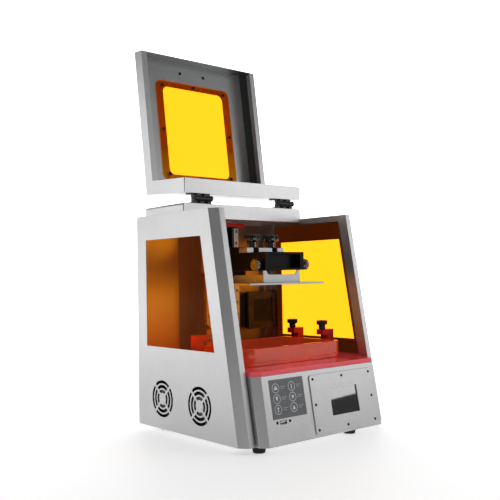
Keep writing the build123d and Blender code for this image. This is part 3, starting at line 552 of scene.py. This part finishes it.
# geometry node tools
class Growth:
    def __init__(self, name, inputs):
        self.tree = bpy.data.node_groups.new(name, "GeometryNodeTree")
        face = self.tree.interface
        face.new_socket("Geometry", in_out="INPUT", socket_type="NodeSocketGeometry")
        face.new_socket("Geometry", in_out="OUTPUT", socket_type="NodeSocketGeometry")
        self.key = {label: face.new_socket(label, in_out="INPUT", socket_type=kind).identifier
                    for label, kind in inputs.items()}
        self.given = self.tree.nodes.new("NodeGroupInput")
        self.result = self.tree.nodes.new("NodeGroupOutput")

    def value(self, label):
        return self.given.outputs[label]

    def node(self, kind, settings, values, out=0):
        return addNode(self.tree, kind, settings, values).outputs[out]

    def end(self, geometry):  # every tree ends in plain geometry with its finish
        real = self.node("GeometryNodeRealizeInstances", {}, {"Geometry": geometry})
        coated = self.node("GeometryNodeSetMaterial", {}, {"Geometry": real, "Material": self.value("Finish")})
        self.tree.links.new(coated, self.result.inputs["Geometry"])

    def grow(self, mesh, values):
        carrier = bpy.data.objects.new("carrier", mesh)
        scene.collection.objects.link(carrier)
        live = carrier.modifiers.new("growth", "NODES")
        live.node_group = self.tree
        for label, value in values.items():
            live[self.key[label]] = value
        done = plainMesh(carrier)
        bpy.data.objects.remove(carrier)
        return done


def headSpreader():  # one head on each point, turned to face along the point's own direction
    g = Growth("headSpreader", {"Head": "NodeSocketObject", "Size": "NodeSocketFloat", "Spin": "NodeSocketFloat",
                                "Seed": "NodeSocketInt", "Finish": "NodeSocketMaterial"})
    facing = g.node("GeometryNodeInputNamedAttribute", {"data_type": "FLOAT_VECTOR"}, {"Name": "facing"})
    upright = g.node("FunctionNodeAlignRotationToVector", {"axis": "Z"}, {"Vector": facing})
    angle = g.node("FunctionNodeRandomValue", {"data_type": "FLOAT"}, {
        2: 0.0, 3: g.value("Spin"), "Seed": g.value("Seed")}, 1)
    spin = g.node("FunctionNodeAxisAngleToRotation", {}, {"Axis": (0, 0, 1), "Angle": angle})
    turn = g.node("FunctionNodeRotateRotation", {"rotation_space": "LOCAL"}, {
        "Rotation": upright, "Rotate By": spin})
    head = g.node("GeometryNodeObjectInfo", {}, {"Object": g.value("Head")}, "Geometry")
    g.end(g.node("GeometryNodeInstanceOnPoints", {}, {
        "Points": g.value("Geometry"), "Instance": head, "Rotation": turn, "Scale": g.value("Size")}))
    return g


spreader = headSpreader()


def spreadHeads(name, head, places, v, finish, body, replaced=()):  # places are points with their facing
    points = bpy.data.meshes.new(name + "Points")
    points.from_pydata([point for point, facing in places], [], [])
    spots = points.attributes.new("facing", "FLOAT_VECTOR", "POINT")
    spots.data.foreach_set("vector", [c for point, facing in places for c in facing])
    shape = bpy.data.objects.new(name + "Head", meshFrom(name + "Head", head, Matrix.Scale(0.001, 4)))
    scene.collection.objects.link(shape)
    done = spreader.grow(points, {"Head": shape, "Size": v["size"], "Spin": v["spin"], "Seed": v["seed"],
                                  "Finish": finishes[finish]})
    bpy.data.objects.remove(shape)
    piece(name, done, finish, body, replaced)


# screws
screwValues = {"size": 1.0, "spin": 6.28, "seed": 4, "around": 24}


def buttonHead(v):
    r, h, k, d = v["radius"], v["height"], v["key"], v["deep"]
    return turned([(r * 0.97, 0, 0), (r, h * 0.15, 0), (r * 0.97, h * 0.45, 0), (r * 0.82, h * 0.78, 0),
                   (r * 0.62, h * 0.95, 0), (k * 1.25, h, 0), (k * 1.1, h * 0.99, "hex"), (k, h * 0.9, "hex"),
                   (k, d, "hex")], v["around"])


frontValues = {"columns": (-24.4, 50.2, 124.2), "rows": (12.5, 56.5, 101.2), "cover": 2.0,
               "slotColumns": (-118.3, -89.1), "slotRow": 38.2}
coverHoles = [(x, s) for i, x in enumerate(frontValues["columns"]) for j, s in enumerate(frontValues["rows"])
              if (i, j) != (1, 1)]  # the screen takes the middle one's place
frontHeads = [(frontSpot(x, s, frontValues["cover"]), frontFacing()) for x, s in coverHoles]
frontHeads += [(frontSpot(x, frontValues["slotRow"]), frontFacing()) for x in frontValues["slotColumns"]]
smallHead = dict(screwValues, radius=2.5, height=1.1, key=1.25, deep=0.3)
spreadHeads("frontScrewHeads", buttonHead(smallHead), frontHeads, smallHead, "black_oxide", "casing",
            ["front_screws"])

paneValues = {"corners": [(x, u) for x in (-82.3, 82.3) for u in (50.1, 245.0)], "depth": -4.55,
              "edges": [(-88.9, 147.55), (88.9, 147.55), (0, 44.0), (0, 250.2)],
              "handle": [(-31.3, 279.3), (31.3, 279.3)], "handleDepth": -1.55}
paneHoles = paneValues["corners"] + paneValues["edges"]
paneHead = dict(screwValues, radius=3.7, height=1.5, key=1.5, deep=0.5)
lidHeads = [(doorSpot(x, u, paneValues["depth"]), -doorFacing()) for x, u in paneHoles]
lidHeads += [(doorSpot(x, u, paneValues["handleDepth"]), -doorFacing()) for x, u in paneValues["handle"]]
spreadHeads("lidScrewHeads", buttonHead(paneHead), lidHeads, paneHead, "black_oxide", "lid", ["lid_screws"])
print("screws are placed")

# knobs and thumbscrews
topKnobValues = {"radius": 15.7, "hub": 9.2, "low": 13.0, "high": 25.0, "stud": 4.0, "studDeep": 16.5,
                 "flute": 2.6, "flutes": 8, "around": 128, "place": (24.2, -169.0, 340.3)}


def flutedKnob(v):
    r, h, f, stud = v["radius"], v["hub"], v["flute"], v["stud"]
    low, high = v["low"], v["high"]
    return turned([
        (stud, -v["studDeep"], 0), (stud, 0, 0), (h * 0.95, 0.0, 0), (h, 0.6, 0), (h, low * 0.8, 0),
        (h * 1.25, low, 0), (r - 1.8, low, f * 0.3), (r - 0.5, low + 0.5, f * 0.8), (r, low + 1.4, f),
        (r, high - 1.6, f), (r - 0.5, high - 0.6, f * 0.8), (r - 1.6, high, f * 0.3), (r * 0.62, high, 0),
        (r * 0.55, high - 0.9, 0), (r * 0.25, high - 0.9, 0)], v["around"], v["flutes"])


sides = (("left", -1), ("right", 1))
x, y, z = topKnobValues["place"]
for side, sign in sides:
    node = side + "_top_knob"
    place = standOn(spot(sign * x, y, z), upward)
    piece(side + "TopKnob", meshFrom(side + "TopKnob", flutedKnob(topKnobValues), place), "knob_gloss",
          bodyOf[node], [node])

sideKnobValues = {"radius": 10.8, "hub": 6.8, "cone": 9.0, "high": 17.0, "stud": 4.0, "studDeep": 7.5,
                  "flute": 1.5, "flutes": 12, "around": 120, "place": (50.3, -223.0, 306.0)}


def coneKnob(v):
    r, h, c, f, high = v["radius"], v["hub"], v["cone"], v["flute"], v["high"]
    return turned([
        (v["stud"], -v["studDeep"], 0), (v["stud"], 0, 0), (h * 0.8, 0, 0), (h, 0.5, 0), (h * 1.05, c * 0.5, 0),
        (r * 0.86, c * 0.95, 0), (r - 0.6, c, f * 0.6), (r, c + 0.7, f), (r, high - 1.0, f),
        (r - 0.6, high - 0.2, f * 0.6), (r * 0.8, high, 0), (r * 0.45, high - 0.4, 0)], v["around"], v["flutes"])


x, y, z = sideKnobValues["place"]
for side, sign in sides:
    node = side + "_side_knob"
    place = standOn(spot(sign * x, y, z), Vector((sign, 0, 0)))
    piece(side + "SideKnob", meshFrom(side + "SideKnob", coneKnob(sideKnobValues), place), "knob_gloss",
          bodyOf[node], [node])

thumbValues = {"radius": 10.9, "neck": 6.7, "shank": 3.0, "flute": 1.5, "flutes": 12, "around": 96,
               "threads": 34, "ridge": 0.28, "x": 116.5, "rows": (("front", -216.0), ("rear", -130.0))}


def thumbScrew(v):
    r, n, s, f = v["radius"], v["neck"], v["shank"], v["flute"]
    rings = [(s * 0.7, 156.6, 0), (s, 157.2, 0)]  # heights from the cheeks' lower edge
    rings += [(s - v["ridge"] * (i % 2), 157.6 + 0.5 * i, 0) for i in range(v["threads"])]
    rings += [(s, 175.3, 0), (n * 0.92, 175.9, 0), (n, 176.3, 0), (n, 183.6, 0), (n * 1.15, 184.9, 0)]
    rings += [(r - 1.2, 185.0, f * 0.5), (r, 186.0, f), (r, 192.3, f), (r - 0.9, 193.3, f * 0.6)]
    rings += [(r * 0.55, 193.5, 0), (r * 0.45, 192.9, 0)]
    return turned(rings, v["around"], v["flutes"])


for side, sign in sides:
    for row, y in thumbValues["rows"]:
        node = side + "_" + row + "_thumbscrew"
        place = standOn(spot(sign * thumbValues["x"], y, 0), upward)
        piece(side + row.title() + "Thumbscrew", meshFrom(node, thumbScrew(thumbValues), place), "black_plastic",
              bodyOf[node], [node])
print("knobs are turned")

# feet
footValues = {"radius": 12.4, "base": 10.6, "height": 11.0, "groove": 0.6, "around": 64,
              "places": ((-141.0, -314.0), (80.0, -317.0), (141.0, -40.0), (-141.0, -40.0))}


def footShape(v):
    r, b, t = v["radius"], v["base"], v["height"]
    return turned([
        (b * 0.5, 0.6, 0), (b * 0.55, 0, 0), (b - 0.5, 0, 0), (b, 0.5, 0), (b + 0.5, t * 0.3, 0),
        (b + 0.6 - v["groove"], t * 0.36, 0), (b + 0.9, t * 0.42, 0), (r, t * 0.94, 0), (r - 0.4, t, 0)], v["around"])


feetShape = bmesh.new()
for x, y in footValues["places"]:
    place = standOn(spot(x, y, -footValues["height"]), upward)
    feetShape.from_mesh(meshFrom("foot", footShape(footValues), place))
piece("rubberFeet", meshFrom("rubberFeet", feetShape), "rubber", "casing", ["feet"])
print("feet are on")

# lead screw
threadValues = {"radius": 3.62, "ridge": 0.38, "pitch": 2.0, "sides": 6, "low": 98.0, "high": 396.0, "steps": 20,
                "y": -27.0, "runOut": 2.0}


def threadGrower():
    g = Growth("threadGrower", {
        "Radius": "NodeSocketFloat", "Ridge": "NodeSocketFloat", "Height": "NodeSocketFloat",
        "Turns": "NodeSocketFloat", "Steps": "NodeSocketInt", "Sides": "NodeSocketInt",
        "Finish": "NodeSocketMaterial"})
    coil = g.node("GeometryNodeCurveSpiral", {}, {
        "Resolution": g.value("Steps"), "Rotations": g.value("Turns"), "Start Radius": g.value("Radius"),
        "End Radius": g.value("Radius"), "Height": g.value("Height")})
    section = g.node("GeometryNodeCurvePrimitiveCircle", {}, {
        "Resolution": g.value("Sides"), "Radius": g.value("Ridge")})
    g.end(g.node("GeometryNodeCurveToMesh", {}, {"Curve": coil, "Profile Curve": section, "Fill Caps": True}))
    return g


v = threadValues
threadLong = v["high"] - v["low"] - 2 * v["runOut"]
threadTurns = threadLong / v["pitch"]
threadMesh = threadGrower().grow(bpy.data.meshes.new("threadSeed"), {
    "Radius": v["radius"] / 1000, "Ridge": v["ridge"] / 1000, "Height": threadLong / 1000, "Turns": threadTurns,
    "Steps": v["steps"], "Sides": v["sides"], "Finish": finishes["steel"]})
threadMesh.transform(Matrix.Translation(spot(0, v["y"], v["low"] + v["runOut"])))
rodShape = turned([(3.2, v["low"], 0), (v["radius"], v["low"] + 0.6, 0), (v["radius"], v["high"] - 0.8, 0),
                   (3.0, v["high"], 0)], 32)
rodMesh = meshFrom("leadRod", rodShape, standOn(spot(0, v["y"], 0), upward))
joined = bmesh.new()
joined.from_mesh(rodMesh)
joined.from_mesh(threadMesh)
piece("leadScrewThread", meshFrom("leadScrewThread", joined), "steel", "screw_drive", ["lead_screw"])
print("lead screw is cut:", round(threadTurns), "turns")

# chamber filter screen
sieveValues = {"width": 50.0, "height": 47.0, "pitch": 3.0, "wire": 0.42, "sides": 5,
               "place": (134.0, -13.4, 209.5)}


def sieveGrower():
    g = Growth("sieveGrower", {
        "Width": "NodeSocketFloat", "Height": "NodeSocketFloat", "Across": "NodeSocketInt", "Up": "NodeSocketInt",
        "Wire": "NodeSocketFloat", "Sides": "NodeSocketInt", "Finish": "NodeSocketMaterial"})
    net = g.node("GeometryNodeMeshGrid", {}, {
        "Size X": g.value("Width"), "Size Y": g.value("Height"),
        "Vertices X": g.value("Across"), "Vertices Y": g.value("Up")})
    lines = g.node("GeometryNodeMeshToCurve", {}, {"Mesh": net})
    section = g.node("GeometryNodeCurvePrimitiveCircle", {}, {
        "Resolution": g.value("Sides"), "Radius": g.value("Wire")})
    g.end(g.node("GeometryNodeCurveToMesh", {}, {"Curve": lines, "Profile Curve": section, "Fill Caps": True}))
    return g


v = sieveValues
sieve = sieveGrower().grow(bpy.data.meshes.new("sieveSeed"), {
    "Width": v["width"] / 1000, "Height": v["height"] / 1000, "Across": round(v["width"] / v["pitch"]) + 1,
    "Up": round(v["height"] / v["pitch"]) + 1, "Wire": v["wire"] / 1000, "Sides": v["sides"],
    "Finish": finishes["black_oxide"]})
sieve.transform(Matrix.Translation(spot(*v["place"])) @ Matrix.Rotation(math.pi / 2, 4, "X"))
piece("filterScreen", sieve, "black_oxide", "casing")
print("filter screen is woven")

# control label
iconValues = {"radius": 8.0, "line": 0.7, "columns": (-112.6, -75.8), "rows": (95.4, 77.4, 59.5), "out": 0.50,
              "thick": 0.10, "bars": ((11.5, 1.6, 14.0), (11.5, -1.6, 10.0)), "barLong": 0.8, "barHigh": 0.9}


def flatShape(shape, rim, low, high):  # a closed outline of front points, given a little thickness
    bottom = [shape.verts.new(frontSpot(x, s, low)) for x, s in rim]
    top = [shape.verts.new(frontSpot(x, s, high)) for x, s in rim]
    shape.faces.new(top)
    shape.faces.new(bottom[::-1])
    for i in range(len(rim)):
        j = (i + 1) % len(rim)
        shape.faces.new((bottom[i], bottom[j], top[j], top[i]))


def flatRing(shape, x, s, outer, inner, low, high, around=40):
    for i in range(around):
        a, b = 2 * math.pi * i / around, 2 * math.pi * (i + 1) / around
        corners = ((outer, a), (outer, b), (inner, b), (inner, a))
        flatShape(shape, [(x + r * math.cos(t), s + r * math.sin(t)) for r, t in corners], low, high)


# generic signs for the six keys, a row at a time, in millimetres from each ring's middle
pictures = [
    [[(-3.6, -2.6), (3.6, -2.6), (3.6, 0.6), (-3.6, 0.6)], [(-2.2, 1.4), (2.2, 1.4), (2.2, 3.4), (-2.2, 3.4)]],
    [[(-0.7, -4.4), (0.7, -4.4), (0.7, 4.4), (-0.7, 4.4)]],
    [[(-2.6, 2.8), (0, -4.2), (2.6, 2.8)], [(-3.2, 3.4), (3.2, 3.4), (3.2, 4.2), (-3.2, 4.2)]],
    [[(-3.4, 3.4), (0, -4.4), (3.4, 3.4), (0, 1.8)]],
    [[(-0.8, -4.6), (0.8, -4.6), (0.8, 1.4), (-0.8, 1.4)], [(-2.4, 1.4), (2.4, 1.4), (0, 4.6)]],
    [[(-1.8, -3.8), (1.8, -3.8), (2.2, -1.4), (0, 3.6), (-2.2, -1.4)]],
]
icons = bmesh.new()
v = iconValues
low, high = v["out"], v["out"] + v["thick"]
for row, s in enumerate(v["rows"]):
    for column, x in enumerate(v["columns"]):
        flatRing(icons, x, s, v["radius"], v["radius"] - v["line"], low, high)
        for rim in pictures[row * 2 + column]:
            flatShape(icons, [(x + a, s + b) for a, b in rim], low, high)
piece("labelIcons", meshFrom("labelIcons", icons), "icon", "casing")
bars = bmesh.new()
for s in v["rows"]:
    for x in v["columns"]:
        for dx, ds, long in v["bars"]:
            a, b, half = x + dx, s + ds, v["barHigh"] / 2
            end = a + long * v["barLong"]
            flatShape(bars, [(a, b - half), (end, b - half), (end, b + half), (a, b + half)], low, high)
piece("labelRules", meshFrom("labelRules", bars), "rule", "casing")
print("label is printed")

# hinge screws
hingeHead = dict(screwValues, radius=3.3, height=0.9, key=1.3, deep=0.2)
hingeValues = {"middle": 108.0, "across": (-15, 0, 15), "y": -107.2, "leaf": 2.5}
lowerHeads = [(spot(sign * hingeValues["middle"] + x, hingeValues["y"], lidTop + hingeValues["leaf"]), upward)
              for side, sign in sides for x in hingeValues["across"]]
spreadHeads("hingeScrewHeads", buttonHead(hingeHead), lowerHeads, hingeHead, "black_oxide", "casing")

print("everything is in place")
